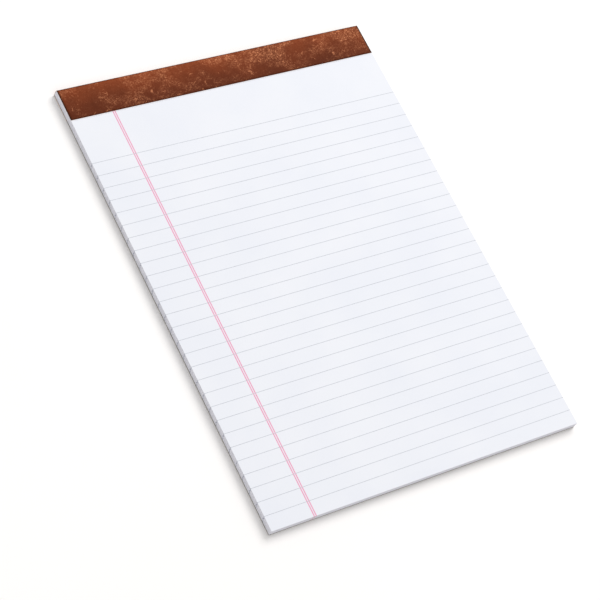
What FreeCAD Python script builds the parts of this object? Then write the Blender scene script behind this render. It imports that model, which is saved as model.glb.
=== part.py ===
import FreeCAD, Part
import math
import os
from FreeCAD import Vector

# A ruled, perforated writing pad, stitched and bound across its head. Millimetres.
# +X runs across the page, +Y up the page to the binding, +Z up from the table.
# The origin is under the middle of the pad, on the plane that it lies on.

# Pages: a trimmed block of thin sheets on a plain chipboard back
page_width = 215.9
page_length = 298.45
sheet_count = 50
sheet_pitch = 0.093
page_head_round = 1.2
board_thickness = 0.8
board_head_round = 0.4

# Binding strip: coated paper, glued to the front and the head, and pressed flush into the back
strip_thickness = 0.15
front_leg = 22.2
back_leg = 19.0

# Perforation: one row of slits just below the strip
perforation_drop = 0.6
slit_length = 1.1
slit_width = 0.12
slit_pitch = 1.6

# Wire stitches: driven from the front, clinched on the back, under the strip
stitch_count = 3
stitch_spacing = 76.0
stitch_crown = 12.7
stitch_inset = 9.5
clinch_length = 4.5
wire_diameter = 0.45
wire_bend = 0.6
wire_clearance = 0.03

# Ruling: printed lines, each a thin film of ink on the top page
first_rule = 53.3
rule_pitch = 8.731
rule_width = 0.3
last_rule_clear = 6.0
margin_inset = 28.0
margin_spacing = 1.3
margin_width = 0.5
ink_thickness = 0.02

# Places that follow from the sizes
strip_seat = strip_thickness
board_top = board_thickness
page_top = board_top + sheet_count * sheet_pitch
pad_length = page_length + strip_thickness
left_x = -page_width / 2
foot_y = -pad_length / 2
head_y = foot_y + page_length
strip_edge_y = head_y - front_leg
back_edge_y = head_y - back_leg
perforation_y = strip_edge_y - perforation_drop
stitch_y = head_y - stitch_inset
cut_over = 1.0


def line(start, end):
    """A straight edge."""
    return Part.LineSegment(start, end).toShape()


def corner(start, centre, end):
    """A quarter round from start to end about its centre."""
    outward = ((start - centre) + (end - centre)).normalize()
    middle = centre + outward * (start - centre).Length
    return Part.Arc(start, middle, end).toShape()


def side_point(y, z):
    """A point of a profile that is drawn on the pad's left side."""
    return Vector(left_x, y, z)


def across(edges):
    """The solid of one constant profile, from the left side to the right."""
    profile = Part.Wire(Part.__sortEdges__(edges))
    return Part.Face(profile).extrude(Vector(page_width, 0, 0))


def slab(low_y, low_z, size_y, size_z, low_x=left_x, size_x=page_width):
    """A square-cut block, as wide as the page unless it is given a width."""
    return Part.makeBox(size_x, size_y, size_z, Vector(low_x, low_y, low_z))


def page_block():
    """The sheets as trimmed, with the head edge eased where the strip folds over."""
    ease = page_head_round
    foot_low = side_point(foot_y, board_top)
    head_low = side_point(head_y, board_top)
    ease_low = side_point(head_y, page_top - ease)
    ease_centre = side_point(head_y - ease, page_top - ease)
    ease_high = side_point(head_y - ease, page_top)
    foot_high = side_point(foot_y, page_top)
    return across([
        line(foot_low, head_low),
        line(head_low, ease_low),
        corner(ease_low, ease_centre, ease_high),
        line(ease_high, foot_high),
        line(foot_high, foot_low),
    ])


def board_blank():
    """The chipboard: pressed in where the strip lies, its rear head edge eased for the fold."""
    ease = board_head_round
    foot_low = side_point(foot_y, 0)
    step_low = side_point(back_edge_y, 0)
    step_high = side_point(back_edge_y, strip_seat)
    ease_low = side_point(head_y - ease, strip_seat)
    ease_centre = side_point(head_y - ease, strip_seat + ease)
    ease_high = side_point(head_y, strip_seat + ease)
    head_high = side_point(head_y, board_top)
    foot_high = side_point(foot_y, board_top)
    return across([
        line(foot_low, step_low),
        line(step_low, step_high),
        line(step_high, ease_low),
        corner(ease_low, ease_centre, ease_high),
        line(ease_high, head_high),
        line(head_high, foot_high),
        line(foot_high, foot_low),
    ])


def fold_line(offset):
    """The line round the head, this far outside the pages and the board, and its ends."""
    top = page_top + offset
    bottom = strip_seat - offset
    nose = head_y + offset
    front = page_head_round + offset
    rear = board_head_round + offset
    front_end = side_point(strip_edge_y, top)
    front_in = side_point(nose - front, top)
    front_out = side_point(nose, top - front)
    rear_in = side_point(nose, bottom + rear)
    rear_out = side_point(nose - rear, bottom)
    back_end = side_point(back_edge_y, bottom)
    edges = [
        line(front_end, front_in),
        corner(front_in, side_point(nose - front, top - front), front_out),
        line(front_out, rear_in),
        corner(rear_in, side_point(nose - rear, bottom + rear), rear_out),
        line(rear_out, back_end),
    ]
    return edges, front_end, back_end


def folded_strip():
    """One strip of even thickness: front leg, round fold, head, second fold, back leg."""
    inner, inner_front, inner_back = fold_line(0)
    outer, outer_front, outer_back = fold_line(strip_thickness)
    ends = [line(inner_front, outer_front), line(inner_back, outer_back)]
    return across(inner + outer + ends)


def slit_row():
    """The cutters of the perforation, centred on the page, with whole ties at both sides."""
    count = math.floor((page_width - slit_pitch) / slit_pitch)
    first_x = -((count - 1) * slit_pitch + slit_length) / 2
    depth = page_top - board_top + 2 * cut_over
    slits = []
    for index in range(count):
        low_x = first_x + index * slit_pitch
        low_y = perforation_y - slit_width / 2
        slits.append(slab(low_y, board_top - cut_over, slit_width, depth, low_x, slit_length))
    return Part.makeCompound(slits)


def stitch_centres():
    """The middle of each stitch across the page."""
    first = -(stitch_count - 1) * stitch_spacing / 2
    return [first + index * stitch_spacing for index in range(stitch_count)]


def stitch_line(middle_x, tip):
    """The wire's centre line, clinch to clinch, its bends cut across, its ends longer by tip."""
    reach = stitch_crown / 2
    axis_depth = wire_diameter / 2 + wire_clearance
    high = page_top - axis_depth
    low = strip_seat + axis_depth
    halves = []
    for side in (-1, 1):
        leg_x = middle_x + side * reach
        bend_x = leg_x - side * wire_bend
        tip_x = leg_x - side * (clinch_length + tip)
        halves.append([
            Vector(tip_x, stitch_y, low),
            Vector(bend_x, stitch_y, low),
            Vector(leg_x, stitch_y, low + wire_bend),
            Vector(leg_x, stitch_y, high - wire_bend),
            Vector(bend_x, stitch_y, high),
        ])
    left, right = halves
    return Part.makePolygon(left + right[::-1])


def round_bar(centre_line, radius):
    """A round bar along a line of straight runs, mitred where they meet."""
    start, second = [vertex.Point for vertex in centre_line.OrderedVertexes[:2]]
    ring = Part.Wire(Part.makeCircle(radius, start, second - start))
    solid, frenet, mitred = True, False, 1
    return centre_line.makePipeShell([ring], solid, frenet, mitred)


def wire_stitch(middle_x):
    """One stitch of round wire."""
    return round_bar(stitch_line(middle_x, 0), wire_diameter / 2)


def stitch_bed(middle_x):
    """The cutter that seats one stitch: its bore, and slots that leave crown and clinch flush."""
    bore_radius = wire_diameter / 2 + wire_clearance
    half = bore_radius + wire_clearance
    reach = stitch_crown / 2 + half
    clinch = half + clinch_length + wire_clearance
    low_y = stitch_y - half
    bed = round_bar(stitch_line(middle_x, wire_clearance), bore_radius)
    crown_z = page_top - bore_radius
    depth = bore_radius + cut_over
    bed = bed.fuse(slab(low_y, crown_z, 2 * half, depth, middle_x - reach, 2 * reach))
    for low_x in (middle_x - reach, middle_x + reach - clinch):
        bed = bed.fuse(slab(low_y, strip_seat - cut_over, 2 * half, depth, low_x, clinch))
    return bed


def rule_films():
    """The writing lines: they run off the page at both sides."""
    count = math.floor((page_length - first_rule - last_rule_clear) / rule_pitch) + 1
    films = []
    for index in range(count):
        low_y = head_y - first_rule - index * rule_pitch - rule_width / 2
        films.append(slab(low_y, page_top, rule_width, ink_thickness))
    return Part.makeCompound(films)


def margin_films(rules, slits):
    """The double margin line, from the strip to the foot, broken where a rule crosses it."""
    films = []
    for index in range(2):
        low_x = left_x + margin_inset + index * margin_spacing - margin_width / 2
        length = strip_edge_y - foot_y
        films.append(slab(foot_y, page_top, length, ink_thickness, low_x, margin_width))
    return Part.makeCompound(films).cut(rules).cut(slits)


def save(name, shape):
    """One file for each sub-part."""
    shape.exportStep(os.path.join("parts", name + ".step"))


def main():
    os.makedirs("parts", exist_ok=True)
    centres = stitch_centres()
    beds = Part.makeCompound([stitch_bed(middle_x) for middle_x in centres])
    slits = slit_row()
    rules = rule_films()
    save("sheets", page_block().cut(beds).cut(slits))
    save("backing_board", board_blank().cut(beds))
    save("binding_strip", folded_strip())
    save("wire_stitches", Part.makeCompound([wire_stitch(middle_x) for middle_x in centres]))
    save("blue_rules", rules)
    save("margin_rules", margin_films(rules, slits))


main()
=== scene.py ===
import math
import random

import bmesh
import bpy
from mathutils import Matrix, Vector


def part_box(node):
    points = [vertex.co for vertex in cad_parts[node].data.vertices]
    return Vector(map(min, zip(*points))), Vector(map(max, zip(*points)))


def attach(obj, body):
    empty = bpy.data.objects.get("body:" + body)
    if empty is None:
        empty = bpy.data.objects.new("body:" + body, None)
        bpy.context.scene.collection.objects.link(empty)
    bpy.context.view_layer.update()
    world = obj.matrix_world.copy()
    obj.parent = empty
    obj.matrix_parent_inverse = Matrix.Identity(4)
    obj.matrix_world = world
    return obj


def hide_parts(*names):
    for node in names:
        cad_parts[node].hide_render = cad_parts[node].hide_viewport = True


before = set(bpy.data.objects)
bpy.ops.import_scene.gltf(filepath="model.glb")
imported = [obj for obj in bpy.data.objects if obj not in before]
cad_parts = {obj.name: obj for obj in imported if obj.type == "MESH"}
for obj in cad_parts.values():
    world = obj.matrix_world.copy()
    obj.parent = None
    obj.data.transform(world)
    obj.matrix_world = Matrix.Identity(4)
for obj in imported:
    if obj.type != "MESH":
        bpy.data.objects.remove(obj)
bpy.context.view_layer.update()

# The backing board
# A stiff plate of grey chipboard, made of recycled fibre, under the whole block of sheets.
# It is cut with the sheets, so its sides are flush with theirs, and it stays bare at the back.
board_grey = (0.262, 0.243, 0.22, 1)
board_pale = (0.335, 0.313, 0.283, 1)
board_dark_fleck = (0.075, 0.07, 0.068, 1)
board_pale_fleck = (0.56, 0.53, 0.48, 1)
board_cloud_scale = 26
board_fibre_scale = 1300
board_fibre_stretch = (1, 0.35, 1)
board_fibre_pale_share = 0.4
board_fibre_dark_share = 0.5
board_fleck_scale = 330
board_fleck_size = 0.2
board_dark_fleck_least = 0.45
board_pale_fleck_least = 0.35
board_pale_fleck_stretch = (0.4, 1, 1)
board_pale_fleck_crowding = 1.3
board_pale_fleck_share = 0.7
board_bump_depth = 0.00006
board_roughness = 0.92
board_gloss = 0.2


def new_material(name, roughness, specular):
    """A material whose constant gloss sits on the shader's own sockets, and its node tree."""
    material = bpy.data.materials.new(name)
    material.use_nodes = True
    tree = material.node_tree
    shader = tree.nodes["Principled BSDF"]
    shader.inputs["Roughness"].default_value = roughness
    shader.inputs["Specular IOR Level"].default_value = specular
    return material, tree, shader


def place(tree, stretch=(1, 1, 1), shift=(0, 0, 0)):
    """Where a point lies on the pad, in metres, stretched along each axis and then moved."""
    coordinates = tree.nodes.new("ShaderNodeTexCoord")
    mapping = tree.nodes.new("ShaderNodeMapping")
    mapping.inputs["Scale"].default_value = stretch
    mapping.inputs["Location"].default_value = shift
    tree.links.new(coordinates.outputs["Object"], mapping.inputs["Vector"])
    return mapping.outputs["Vector"]


def noise(tree, where, scale, detail=4, roughness=0.55):
    """Soft random tone, from 0 to 1, with about this many features to the metre."""
    texture = tree.nodes.new("ShaderNodeTexNoise")
    texture.inputs["Scale"].default_value = scale
    texture.inputs["Detail"].default_value = detail
    texture.inputs["Roughness"].default_value = roughness
    tree.links.new(where, texture.inputs["Vector"])
    return texture.outputs["Fac"]


def spread(tree, value, low, high, to_low=0, to_high=1):
    """A value taken from one span to another, and held at its ends."""
    node = tree.nodes.new("ShaderNodeMapRange")
    node.inputs["From Min"].default_value = low
    node.inputs["From Max"].default_value = high
    node.inputs["To Min"].default_value = to_low
    node.inputs["To Max"].default_value = to_high
    tree.links.new(value, node.inputs["Value"])
    return node.outputs["Result"]


def connect(tree, value, socket):
    """Feeds a socket from another socket, or sets it to a plain number or colour."""
    if isinstance(value, bpy.types.NodeSocket):
        tree.links.new(value, socket)
    else:
        socket.default_value = value


def blended(tree, share, first, second):
    """The second colour over the first, by a share from 0 to 1."""
    node = tree.nodes.new("ShaderNodeMix")
    node.data_type = "RGBA"
    connect(tree, share, node.inputs["Factor"])
    connect(tree, first, node.inputs["A"])
    connect(tree, second, node.inputs["B"])
    return node.outputs["Result"]


def worked_out(tree, operation, first, second=0.0):
    """One step of arithmetic on values that vary over the surface."""
    node = tree.nodes.new("ShaderNodeMath")
    node.operation = operation
    connect(tree, first, node.inputs[0])
    connect(tree, second, node.inputs[1])
    return node.outputs["Value"]


def relief(tree, shader, height, depth):
    """Fine relief of this depth in metres, from a height of 0 to 1."""
    bump = tree.nodes.new("ShaderNodeBump")
    bump.inputs["Distance"].default_value = depth
    tree.links.new(height, bump.inputs["Height"])
    tree.links.new(bump.outputs["Normal"], shader.inputs["Normal"])


def dots(tree, where, scale, size, least):
    """Small separate spots, each with its own strength, where only some of the cells hold one."""
    cells = tree.nodes.new("ShaderNodeTexVoronoi")
    cells.inputs["Scale"].default_value = scale
    tree.links.new(where, cells.inputs["Vector"])
    chance = tree.nodes.new("ShaderNodeSeparateXYZ")
    tree.links.new(cells.outputs["Color"], chance.inputs["Vector"])
    spot = spread(tree, cells.outputs["Distance"], size / 2, size, 1, 0)
    return worked_out(tree, "MULTIPLY", spot, spread(tree, chance.outputs["X"], least, 1))


def chipboard():
    """Pressed grey fibre: faint clouds, short fibres drawn one way, dark and pale flecks."""
    material, tree, shader = new_material("chipboard", board_roughness, board_gloss)
    drawn = place(tree, board_fibre_stretch)
    across = place(tree, board_pale_fleck_stretch)
    cloud = noise(tree, place(tree), board_cloud_scale, 6, 0.65)
    fibre = noise(tree, drawn, board_fibre_scale, 6, 0.7)
    tone = blended(tree, spread(tree, cloud, 0.3, 0.7), board_grey, board_pale)
    pale_fibre = spread(tree, fibre, 0.5, 0.75, 0, board_fibre_pale_share)
    dark_fibre = spread(tree, fibre, 0.5, 0.3, 0, board_fibre_dark_share)
    tone = blended(tree, pale_fibre, tone, board_pale_fleck)
    tone = blended(tree, dark_fibre, tone, board_dark_fleck)
    dark = dots(tree, drawn, board_fleck_scale, board_fleck_size, board_dark_fleck_least)
    pale_scale = board_pale_fleck_crowding * board_fleck_scale
    pale = dots(tree, across, pale_scale, board_fleck_size, board_pale_fleck_least)
    pale = worked_out(tree, "MULTIPLY", pale, board_pale_fleck_share)
    tone = blended(tree, pale, tone, board_pale_fleck)
    tone = blended(tree, dark, tone, board_dark_fleck)
    tree.links.new(tone, shader.inputs["Base Color"])
    relief(tree, shader, fibre, board_bump_depth)
    return material


def dress(node_name, material):
    """Gives a carried-over solid its own finish."""
    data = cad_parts[node_name].data
    data.materials.clear()
    data.materials.append(material)


dress("backing_board", chipboard())

# The sheets
# Fifty thin sheets of white writing paper, knocked up square and trimmed together on three sides.
# Each sheet is made here by itself, so that the sides of the block show its leaves.
sheet_count = 50
sheet_share = 0.94
trim_scatter = 0.00004
step_scatter = 0.00009
step_chance = 0.12
slit_sheets = 5
head_round = 0.0012
stitch_spacing = 0.076
stitch_crown = 0.0127
bed_clearance = 0.00006
paper_white = (0.78, 0.79, 0.83, 1)
paper_shade = (0.755, 0.77, 0.82, 1)
paper_fleck = (0.70, 0.72, 0.79, 1)
paper_fleck_share = 0.10
paper_roughness = 0.82
paper_gloss = 0.25
paper_cloud_scale = 22
paper_grain_scale = 2600
paper_grain_depth = 0.000012
crept_ink = (0.80, 0.42, 0.56, 1)
crept_share = 0.2
ink_creep = 0.0006

block_low, block_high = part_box("sheets")
strip_low, strip_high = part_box("binding_strip")
wire_low, wire_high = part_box("wire_stitches")
rule_low, rule_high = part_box("blue_rules")
margin_low, margin_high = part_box("margin_rules")
board_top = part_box("backing_board")[1].z
sheet_pitch = (block_high.z - board_top) / sheet_count
strip_edge = strip_low.y
stitch_y = (wire_low.y + wire_high.y) / 2
bed_half = (wire_high.y - wire_low.y) / 2 + bed_clearance


def perforation_lines():
    """The ends of every slit across the page, and the two long sides of the row."""
    near = 0.00001
    corners = []
    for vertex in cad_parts["sheets"].data.vertices:
        point = vertex.co
        on_page = abs(point.z - block_high.z) < near
        if on_page and block_low.y + near < point.y < strip_edge - near:
            corners.append(point)
    across = sorted({round(point.x, 6) for point in corners})
    along = sorted({round(point.y, 6) for point in corners})
    return across, along


slit_ends, slit_sides = perforation_lines()
stitch_middles = [-stitch_spacing, 0, stitch_spacing]


def leaf(mesh, xs, ys, low, high, is_open):
    """One closed sheet on a grid of lines, with holes where a cell is open."""
    points = {}

    def corner(i, j, z):
        if (i, j, z) not in points:
            points[i, j, z] = mesh.verts.new((xs[i], ys[j], z))
        return points[i, j, z]

    def solid(i, j):
        inside = 0 <= i < len(xs) - 1 and 0 <= j < len(ys) - 1
        return inside and not is_open(i, j)

    def wall(a, b):
        ring = [corner(*a, low), corner(*b, low), corner(*b, high), corner(*a, high)]
        face = mesh.faces.new(ring)
        face.material_index = 1

    for i in range(len(xs) - 1):
        for j in range(len(ys) - 1):
            if not solid(i, j):
                continue
            ring = [(i, j), (i + 1, j), (i + 1, j + 1), (i, j + 1)]
            mesh.faces.new([corner(*spot, high) for spot in ring])
            mesh.faces.new([corner(*spot, low) for spot in reversed(ring)])
            if not solid(i, j - 1):
                wall(ring[0], ring[1])
            if not solid(i + 1, j):
                wall(ring[1], ring[2])
            if not solid(i, j + 1):
                wall(ring[2], ring[3])
            if not solid(i - 1, j):
                wall(ring[3], ring[0])


def head_setback(z):
    """How far a sheet at this height stops short of the head, where the strip folds over."""
    rise = z - (block_high.z - head_round)
    if rise <= 0:
        return 0
    return head_round - math.sqrt(max(head_round ** 2 - rise ** 2, 0))


def bed_spans(z_low, z_high):
    """The stretches that the stitches take out of a sheet: two bores each, or the whole crown."""
    spans = []
    crown_floor = wire_high.z - 2 * bed_half
    for middle in stitch_middles:
        left = middle - stitch_crown / 2
        right = middle + stitch_crown / 2
        if z_high > crown_floor:
            spans.append((left - bed_half, right + bed_half))
        else:
            spans.append((left - bed_half, left + bed_half))
            spans.append((right - bed_half, right + bed_half))
    return spans


def add_sheet(mesh, index, scatter):
    """One sheet of the block, counted from the board, trimmed a hair apart from its neighbours."""
    low = board_top + index * sheet_pitch
    high = low + sheet_pitch * sheet_share
    if index == sheet_count - 1:
        high = block_high.z
    sides = [scatter() for _ in range(4)]
    beds = bed_spans(low, high)
    xs = [block_low.x + sides[0], block_high.x - sides[1]]
    xs += [end for span in beds for end in span]
    has_slits = index >= sheet_count - slit_sheets
    if has_slits:
        xs += slit_ends
    xs = sorted(set(xs))
    head = min(block_high.y - sides[3], block_high.y - head_setback(high))
    bed_sides = [stitch_y - bed_half, stitch_y + bed_half]
    ys = sorted([block_low.y + sides[2], *slit_sides, *bed_sides, head])

    def is_open(i, j):
        x = (xs[i] + xs[i + 1]) / 2
        if ys[j] == bed_sides[0]:
            return any(start < x < end for start, end in beds)
        if has_slits and ys[j] == slit_sides[0]:
            return any(start < x < end for start, end in zip(slit_ends[::2], slit_ends[1::2]))
        return False

    leaf(mesh, xs, ys, low, high, is_open)


def add_object(name, mesh, materials):
    """A finished mesh as one named piece, with its finishes in the order of their numbers."""
    data = bpy.data.meshes.new(name)
    mesh.normal_update()
    mesh.to_mesh(data)
    mesh.free()
    piece = bpy.data.objects.new(name, data)
    bpy.context.scene.collection.objects.link(piece)
    for material in materials:
        data.materials.append(material)
    return piece


def page_paper():
    """Smooth white paper with a faint blue cast: soft clouds, and a grain that barely shows."""
    material, tree, shader = new_material("page_paper", paper_roughness, paper_gloss)
    where = place(tree)
    cloud = spread(tree, noise(tree, where, paper_cloud_scale, 3), 0.35, 0.65)
    grain = noise(tree, where, paper_grain_scale, 5, 0.6)
    tone = blended(tree, cloud, paper_white, paper_shade)
    tone = blended(tree, spread(tree, grain, 0.62, 0.8, 0, paper_fleck_share), tone, paper_fleck)
    parts = tree.nodes.new("ShaderNodeSeparateXYZ")
    tree.links.new(where, parts.inputs["Vector"])
    pair_middle = (margin_low.x + margin_high.x) / 2
    pair_reach = (margin_high.x - margin_low.x) / 2
    aside = worked_out(tree, "SUBTRACT", parts.outputs["X"], pair_middle)
    aside = worked_out(tree, "ABSOLUTE", aside)
    crept = spread(tree, aside, pair_reach, pair_reach + ink_creep, crept_share, 0)
    tone = blended(tree, crept, tone, crept_ink)
    tree.links.new(tone, shader.inputs["Base Color"])
    relief(tree, shader, grain, paper_grain_depth)
    return material


edge_light = (0.83, 0.82, 0.87, 1)
edge_shade = (0.61, 0.61, 0.67, 1)
edge_blue = (0.20, 0.23, 0.31, 1)
edge_pink = (0.70, 0.36, 0.45, 1)
edge_roughness = 0.9
edge_gloss = 0.15
leaf_least_shade = 0.05
leaf_most_shade = 0.55
edge_streak_scale = 7000
edge_streak_stretch = (0.05, 0.05, 1)
edge_burr_scale = 1700
edge_burr_stretch = (1, 1, 0.15)
edge_burr_depth = 0.00003
edge_dirt_share = 0.5
tick_full_share = 0.95
tick_worn_share = 0.5
tick_half = 0.00022
tick_soft = 0.00016
tick_scatter = 0.00024
tick_slant = 0.26
tick_wander = 0.0006
tick_lift_scale = 520
rule_lines = 28
rule_width = 0.0003
margin_width = 0.0005


def tick(tree, along, low, high, lines, scatter):
    """A mask of thin marks: evenly spaced lines, from the first to the last, run off the edge."""
    step = (high - low) / (lines - 1)
    moved = worked_out(tree, "ADD", along, scatter)
    turns = worked_out(tree, "DIVIDE", worked_out(tree, "SUBTRACT", moved, low), step)
    nearest = worked_out(tree, "ROUND", turns)
    held = spread(tree, nearest, 0, lines - 1, 0, lines - 1)
    turns_apart = worked_out(tree, "ABSOLUTE", worked_out(tree, "SUBTRACT", turns, held))
    apart = worked_out(tree, "MULTIPLY", turns_apart, step)
    return spread(tree, apart, tick_half, tick_half + tick_soft, 1, 0)


def page_edge():
    """The cut edges: each leaf lighter or darker, with the printed lines' ends as ticks."""
    material, tree, shader = new_material("page_edge", edge_roughness, edge_gloss)
    where = place(tree)
    parts = tree.nodes.new("ShaderNodeSeparateXYZ")
    tree.links.new(where, parts.inputs["Vector"])
    x, y, z = parts.outputs
    rise = worked_out(tree, "SUBTRACT", z, board_top)
    number = worked_out(tree, "FLOOR", worked_out(tree, "DIVIDE", rise, sheet_pitch))
    chance = tree.nodes.new("ShaderNodeTexWhiteNoise")
    chance.noise_dimensions = "1D"
    tree.links.new(number, chance.inputs["W"])
    streaks = noise(tree, place(tree, edge_streak_stretch), edge_streak_scale, 2)
    burr = noise(tree, place(tree, edge_burr_stretch), edge_burr_scale, 5, 0.65)
    shade = spread(tree, chance.outputs["Value"], 0, 1, leaf_least_shade, leaf_most_shade)
    tone = blended(tree, shade, edge_light, edge_shade)
    tone = blended(tree, spread(tree, streaks, 0.5, 0.75, 0, edge_dirt_share), tone, edge_shade)
    tone = blended(tree, spread(tree, burr, 0.45, 0.75, 0, edge_dirt_share), tone, edge_shade)
    jitter = spread(tree, chance.outputs["Value"], 0, 1, -tick_scatter, tick_scatter)
    lifts = noise(tree, place(tree, (0, 0, 1)), tick_lift_scale, 2)
    wander = spread(tree, lifts, 0.3, 0.7, -tick_wander, tick_wander)
    depth = worked_out(tree, "SUBTRACT", block_high.z, z)
    slant = worked_out(tree, "MULTIPLY", depth, tick_slant)
    drift = worked_out(tree, "ADD", slant, worked_out(tree, "ADD", jitter, wander))
    half_rule = rule_width / 2
    half_margin = margin_width / 2
    blue = tick(tree, y, rule_low.y + half_rule, rule_high.y - half_rule, rule_lines, drift)
    pink = tick(tree, x, margin_low.x + half_margin, margin_high.x - half_margin, 2, drift)
    normal = tree.nodes.new("ShaderNodeNewGeometry")
    facing = tree.nodes.new("ShaderNodeSeparateXYZ")
    tree.links.new(normal.outputs["Normal"], facing.inputs["Vector"])
    at_side = spread(tree, worked_out(tree, "ABSOLUTE", facing.outputs["X"]), 0.4, 0.6)
    at_foot = spread(tree, worked_out(tree, "ABSOLUTE", facing.outputs["Y"]), 0.4, 0.6)
    faded = spread(tree, burr, 0.3, 0.7, tick_full_share, tick_worn_share)
    blue_share = worked_out(tree, "MULTIPLY", worked_out(tree, "MULTIPLY", blue, at_side), faded)
    pink_share = worked_out(tree, "MULTIPLY", worked_out(tree, "MULTIPLY", pink, at_foot), faded)
    tone = blended(tree, blue_share, tone, edge_blue)
    tone = blended(tree, pink_share, tone, edge_pink)
    tree.links.new(tone, shader.inputs["Base Color"])
    relief(tree, shader, burr, edge_burr_depth)
    return material


def trim_scatter_source(chances):
    """How far each side of a sheet stands back: mostly a hair, now and then a little more."""
    def scatter():
        back = chances.uniform(0, trim_scatter)
        if chances.random() < step_chance:
            back += chances.uniform(0, step_scatter)
        return back
    return scatter


paper = page_paper()
edge = page_edge()
scatter = trim_scatter_source(random.Random(7))
lower = bmesh.new()
for number in range(sheet_count - 1):
    add_sheet(lower, number, scatter)
lower_sheets = add_object("lower_sheets", lower, [paper, edge])
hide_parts("sheets")
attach(lower_sheets, "root")

page = bmesh.new()
add_sheet(page, sheet_count - 1, lambda: 0)
top_page = add_object("top_page", page, [paper, edge])
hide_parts("sheets")
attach(top_page, "root")

# The ruling
# Pale blue writing lines and a double pink margin line, printed on the sheet with thin ink.
# The blue lines run off both sides of the page, and the pink ones from the strip to the foot.
rule_ink = (0.47, 0.487, 0.53, 1)
rule_faint = (0.58, 0.60, 0.64, 1)
margin_ink = (0.77, 0.24, 0.40, 1)
margin_faint = (0.79, 0.33, 0.48, 1)
ink_break_scale = 1900


def thin_ink(name, full, faint):
    """Ink sunk into the paper: fuller here and fainter there, with no gloss of its own."""
    material, tree, shader = new_material(name, paper_roughness, paper_gloss)
    where = place(tree)
    patches = noise(tree, where, ink_break_scale, 4, 0.65)
    tone = blended(tree, spread(tree, patches, 0.4, 0.65), full, faint)
    tree.links.new(tone, shader.inputs["Base Color"])
    relief(tree, shader, patches, paper_grain_depth)
    return material


dress("blue_rules", thin_ink("rule_ink", rule_ink, rule_faint))
dress("margin_rules", thin_ink("margin_ink", margin_ink, margin_faint))

# The wire stitches
# Three stitches of thin galvanised wire, driven through sheets and board and clinched at the back.
# They lie in the paper, wholly under the strip, and are drawn here only for the pad taken apart.
wire_bright = (0.62, 0.63, 0.64, 1)
wire_dull = (0.42, 0.43, 0.45, 1)
wire_roughness = 0.38
wire_gloss = 0.5
wire_streak_scale = 2200
wire_streak_depth = 0.00001


def galvanised_wire():
    """Drawn steel wire under thin zinc, with fine streaks."""
    material, tree, shader = new_material("stitch_wire", wire_roughness, wire_gloss)
    shader.inputs["Metallic"].default_value = 1
    patches = noise(tree, place(tree), wire_streak_scale, 3)
    tone = blended(tree, spread(tree, patches, 0.35, 0.7), wire_bright, wire_dull)
    tree.links.new(tone, shader.inputs["Base Color"])
    relief(tree, shader, patches, wire_streak_depth)
    return material


dress("wire_stitches", galvanised_wire())

# The binding strip
# One strip of brown coated paper with a printed leather look, glued down over the stitches.
# It is folded round the head from the front to the back, and cut flush with the sides.
strip_brown = (0.24, 0.048, 0.0127, 1)
strip_deep = (0.058, 0.0107, 0.003, 1)
strip_tan = (0.83, 0.322, 0.15, 1)
# The colour of the painted shade along the strip's fold, front edge and cut ends.
strip_shade_colour = (0.035, 0.011, 0.005, 1)
strip_core = (0.72, 0.60, 0.50, 1)
strip_roughness = 0.7
strip_gloss = 0.07
strip_glossiest = 0.6
strip_dullest = 0.78
strip_cloud_scale = 42
strip_cloud_share = 0.45
strip_drift_scale = 62
strip_drift_stretch = (0.8, 1, 1)
strip_drift_shift = (1.358, 0.3, 0)
strip_drift_least = 0.08
strip_drift_glow = 0.05
# Painted shade that deepens the strip toward its front edge, once under the grains and again over
# them.
strip_painted_shade_low = 0.6
strip_painted_shade_over_grains = 0.35
strip_speck_scale = 980
large_speck_sway = (1300, 0.0020)
small_speck_sway = (2600, 0.0012)
small_speck_crowding = 1.8
small_speck_share = 0.7
speck_crumble_crowding = 3.5
strip_vein_scale = 210
vein_sway = (320, 0.004)
vein_run_scale = 170
vein_share = 0.5
strip_grain_scale = 1700
strip_grain_share = 0.35
strip_grain_depth = 0.00003
# How wide and how strong the painted shade is along the fold, the front edge and the cut ends.
strip_edge_shade_reach = 0.0011
fold_shade_share = 0.8
front_edge_shade_share = 0.55
cut_end_shade_share = 0.95
core_fibre_scale = 3000
core_roughness = 0.9
core_gloss = 0.2
rear_round = 0.0004
fold_steps = 10
leg_steps = 12
across_steps = 96
strip_thickness = strip_high.z - block_high.z
strip_points = [vertex.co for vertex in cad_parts["binding_strip"].data.vertices]
strip_back_edge = min(point.y for point in strip_points if point.z < strip_thickness / 2)


def swayed(tree, where, scale, reach):
    """The same place pushed about by soft noise, so that what is drawn there turns uneven."""
    bend = tree.nodes.new("ShaderNodeTexNoise")
    bend.inputs["Scale"].default_value = scale
    tree.links.new(where, bend.inputs["Vector"])
    sway = tree.nodes.new("ShaderNodeVectorMath")
    sway.operation = "SCALE"
    sway.inputs["Scale"].default_value = reach
    tree.links.new(bend.outputs["Color"], sway.inputs[0])
    moved = tree.nodes.new("ShaderNodeVectorMath")
    moved.operation = "ADD"
    tree.links.new(where, moved.inputs[0])
    tree.links.new(sway.outputs["Vector"], moved.inputs[1])
    return moved.outputs["Vector"]


def vein_lines(tree, where):
    """Thin pale cracks between uneven cells, broken into short runs."""
    cells = tree.nodes.new("ShaderNodeTexVoronoi")
    cells.feature = "DISTANCE_TO_EDGE"
    cells.inputs["Scale"].default_value = strip_vein_scale
    tree.links.new(swayed(tree, where, *vein_sway), cells.inputs["Vector"])
    crack = spread(tree, cells.outputs["Distance"], 0.012, 0.05, vein_share, 0)
    runs = spread(tree, noise(tree, where, vein_run_scale, 3), 0.58, 0.66)
    return worked_out(tree, "MULTIPLY", crack, runs)


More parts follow.
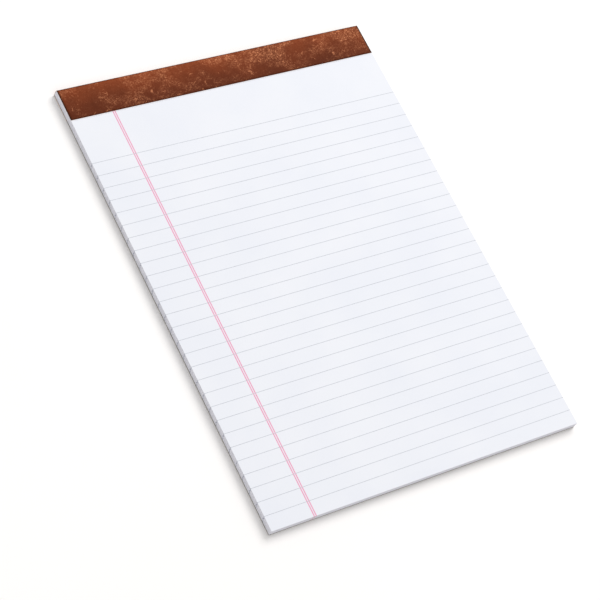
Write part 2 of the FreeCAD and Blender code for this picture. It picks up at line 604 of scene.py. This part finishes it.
def golden_grains(tree, where):
    """Fine uneven specks: larger ones here and there among a dust of small ones."""
    small_scale = small_speck_crowding * strip_speck_scale
    crumble_scale = speck_crumble_crowding * strip_speck_scale
    large = dots(tree, swayed(tree, where, *large_speck_sway), strip_speck_scale, 0.46, 0.2)
    small = dots(tree, swayed(tree, where, *small_speck_sway), small_scale, 0.5, 0.1)
    large = spread(tree, large, 0, 0.33)
    small = spread(tree, small, 0, 0.5, 0, small_speck_share)
    crumbled = spread(tree, noise(tree, where, crumble_scale, 4, 0.7), 0.36, 0.52, 0.15, 1)
    return worked_out(tree, "MULTIPLY", worked_out(tree, "MAXIMUM", large, small), crumbled)


def painted_edge_shade(tree, x, y, z):
    """Painted shade on the strip, darkest along the front fold, its front edge and its two cut
    ends.
    """
    past_head = spread(tree, y, block_high.y - head_round, block_high.y - head_round / 3)
    high_up = spread(tree, z, block_high.z - 1.3 * head_round, block_high.z - head_round / 3)
    fold = worked_out(tree, "MULTIPLY", worked_out(tree, "MULTIPLY", past_head, high_up), fold_shade_share)
    front = spread(tree, y, strip_edge, strip_edge + strip_edge_shade_reach, front_edge_shade_share, 0)
    from_middle = worked_out(tree, "ABSOLUTE", x)
    shade_start = strip_high.x - strip_edge_shade_reach
    shade_end = strip_high.x - strip_edge_shade_reach / 3
    ends = spread(tree, from_middle, shade_start, shade_end, 0, cut_end_shade_share)
    return worked_out(tree, "MAXIMUM", fold, worked_out(tree, "MAXIMUM", front, ends))


def leatherette():
    """Printed leather: soft brown clouds, drifts of fine golden grains, short pale veins, and
    painted shade: deeper toward the front edge and darkest along the fold, the front edge and the
    cut ends.
    """
    material, tree, shader = new_material("leather_look_strip", strip_roughness, strip_gloss)
    where = place(tree)
    parts = tree.nodes.new("ShaderNodeSeparateXYZ")
    tree.links.new(where, parts.inputs["Vector"])
    x, y, z = parts.outputs
    clouds = noise(tree, where, strip_cloud_scale, 4, 0.55)
    cloud = spread(tree, clouds, 0.36, 0.62, strip_cloud_share, 0)
    moved = place(tree, strip_drift_stretch, strip_drift_shift)
    drifts = noise(tree, moved, strip_drift_scale, 6, 0.7)
    drift = spread(tree, drifts, 0.46, 0.6, strip_drift_least, 1)
    drift = worked_out(tree, "MULTIPLY", drift, spread(tree, y, strip_edge, block_high.y, 0.6, 1))
    speck = worked_out(tree, "MULTIPLY", drift, golden_grains(tree, where))
    grain = noise(tree, where, strip_grain_scale, 4, 0.6)
    tone = blended(tree, cloud, strip_brown, strip_deep)
    tone = blended(tree, worked_out(tree, "MULTIPLY", drift, strip_drift_glow), tone, strip_tan)
    # Painted shade: the strip turns deeper toward its front edge.
    shade_toward_front = spread(tree, y, strip_edge, block_high.y, strip_painted_shade_low, 0)
    tone = blended(tree, shade_toward_front, tone, strip_deep)
    tone = blended(tree, speck, tone, strip_tan)
    # More painted shade toward the front edge, laid over the grains.
    shade_over_grains = spread(tree, y, strip_edge, block_high.y, strip_painted_shade_over_grains, 0)
    tone = blended(tree, shade_over_grains, tone, strip_deep)
    tone = blended(tree, vein_lines(tree, where), tone, strip_tan)
    tone = blended(tree, spread(tree, grain, 0.52, 0.72, 0, strip_grain_share), tone, strip_deep)
    # Painted shade along the fold, the front edge and the cut ends.
    tone = blended(tree, painted_edge_shade(tree, x, y, z), tone, strip_shade_colour)
    tree.links.new(tone, shader.inputs["Base Color"])
    dullness = spread(tree, grain, 0.3, 0.7, strip_glossiest, strip_dullest)
    tree.links.new(dullness, shader.inputs["Roughness"])
    relief(tree, shader, grain, strip_grain_depth)
    return material


def paper_core():
    """The cut ends of the strip, where its pale core shows."""
    material, tree, shader = new_material("strip_core", core_roughness, core_gloss)
    fibre = noise(tree, place(tree), core_fibre_scale, 4)
    tone = blended(tree, spread(tree, fibre, 0.35, 0.7), strip_core, strip_tan)
    tree.links.new(tone, shader.inputs["Base Color"])
    return material


def quarter(centre_y, centre_z, radius, start, turn):
    """Points of a quarter round, from its start angle in degrees, one way or the other."""
    points = []
    for step in range(fold_steps + 1):
        angle = math.radians(start + turn * 90 * step / fold_steps)
        points.append((centre_y + radius * math.cos(angle), centre_z + radius * math.sin(angle)))
    return points


def fold_path(offset):
    """Points of the strip's section, from the front edge round the head to the back edge."""
    top = block_high.z + offset
    bottom = strip_thickness - offset
    nose = block_high.y + offset
    front = head_round + offset
    rear = rear_round + offset
    path = [(strip_edge, top)]
    for step in range(1, leg_steps):
        path.append((strip_edge + (nose - front - strip_edge) * step / leg_steps, top))
    path += quarter(nose - front, top - front, front, 90, -1)
    path += quarter(nose - rear, bottom + rear, rear, 0, -1)
    path.append((strip_back_edge, bottom))
    return path


def strip_mesh():
    """The folded strip as one closed skin: outside, inside and four cut edges."""
    mesh = bmesh.new()
    outer = fold_path(strip_thickness)
    inner = fold_path(0)
    ring = outer + inner[::-1]
    rows = []
    for step in range(across_steps + 1):
        x = strip_low.x + (strip_high.x - strip_low.x) * step / across_steps
        rows.append([mesh.verts.new((x, y, z)) for y, z in ring])
    for first, second in zip(rows, rows[1:]):
        for k in range(len(ring)):
            face = mesh.faces.new([first[k - 1], first[k], second[k], second[k - 1]])
            face.smooth = True
            if k in (0, len(outer)):
                face.material_index = 1
                face.smooth = False
    last = len(ring) - 1
    for row, flip in ((rows[0], False), (rows[-1], True)):
        for k in range(len(outer) - 1):
            corners = [row[k], row[k + 1], row[last - k - 1], row[last - k]]
            face = mesh.faces.new(corners[::-1] if flip else corners)
            face.material_index = 1
    bmesh.ops.recalc_face_normals(mesh, faces=mesh.faces)
    return mesh


folded_strip = add_object("folded_strip", strip_mesh(), [leatherette(), paper_core()])
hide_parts("binding_strip")
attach(folded_strip, "root")

# The studio
# A pale table, one large soft lamp high on the right, and white walls that fill the shadows.
# The camera stands where the photographer stood, turned on its axis, with a long lens.
table_reach = 3.0
table_tone = (0.93, 0.915, 0.905, 1)
table_warm = (0.925, 0.905, 0.89, 1)
table_cloud_scale = 3
table_roughness = 0.85
table_gloss = 0.2
lamp_place = Vector((1.9, 1.3, 2.5))
lamp_size = 2.4
lamp_power = 75
wall_light = 0.72
camera_place = Vector((-0.60481, -0.41129, 0.97516))
camera_aim = Vector((-0.0244, -0.02321, 0.00545))
camera_roll = math.radians(34.265)
camera_lens = 122.35


def table_top():
    """A wide plain table under the pad."""
    mesh = bmesh.new()
    bmesh.ops.create_grid(mesh, x_segments=1, y_segments=1, size=table_reach)
    material, tree, shader = new_material("table", table_roughness, table_gloss)
    cloud = noise(tree, place(tree), table_cloud_scale, 2)
    tone = blended(tree, spread(tree, cloud, 0.4, 0.6), table_tone, table_warm)
    tree.links.new(tone, shader.inputs["Base Color"])
    return add_object("table_top", mesh, [material])


def looking(place_from, aim, roll=0):
    """A turn that points -Z from one place at another, then rolls about that line."""
    turn = (aim - place_from).to_track_quat("-Z", "Y").to_matrix().to_4x4()
    return Matrix.Translation(place_from) @ turn @ Matrix.Rotation(roll, 4, "Z")


table_top()
lamp_data = bpy.data.lights.new("soft_lamp", "AREA")
lamp_data.shape = "DISK"
lamp_data.size = lamp_size
lamp_data.energy = lamp_power
lamp = bpy.data.objects.new("soft_lamp", lamp_data)
lamp.matrix_world = looking(lamp_place, Vector((0, 0, 0)))
bpy.context.scene.collection.objects.link(lamp)

world = bpy.data.worlds.new("studio")
world.use_nodes = True
world.node_tree.nodes["Background"].inputs["Color"].default_value = (1, 1, 1, 1)
world.node_tree.nodes["Background"].inputs["Strength"].default_value = wall_light
bpy.context.scene.world = world
bpy.context.scene.view_settings.view_transform = "Standard"

camera_data = bpy.data.cameras.new("camera")
camera_data.lens = camera_lens
camera = bpy.data.objects.new("camera", camera_data)
camera.matrix_world = looking(camera_place, camera_aim, camera_roll)
bpy.context.scene.collection.objects.link(camera)
bpy.context.scene.camera = camera
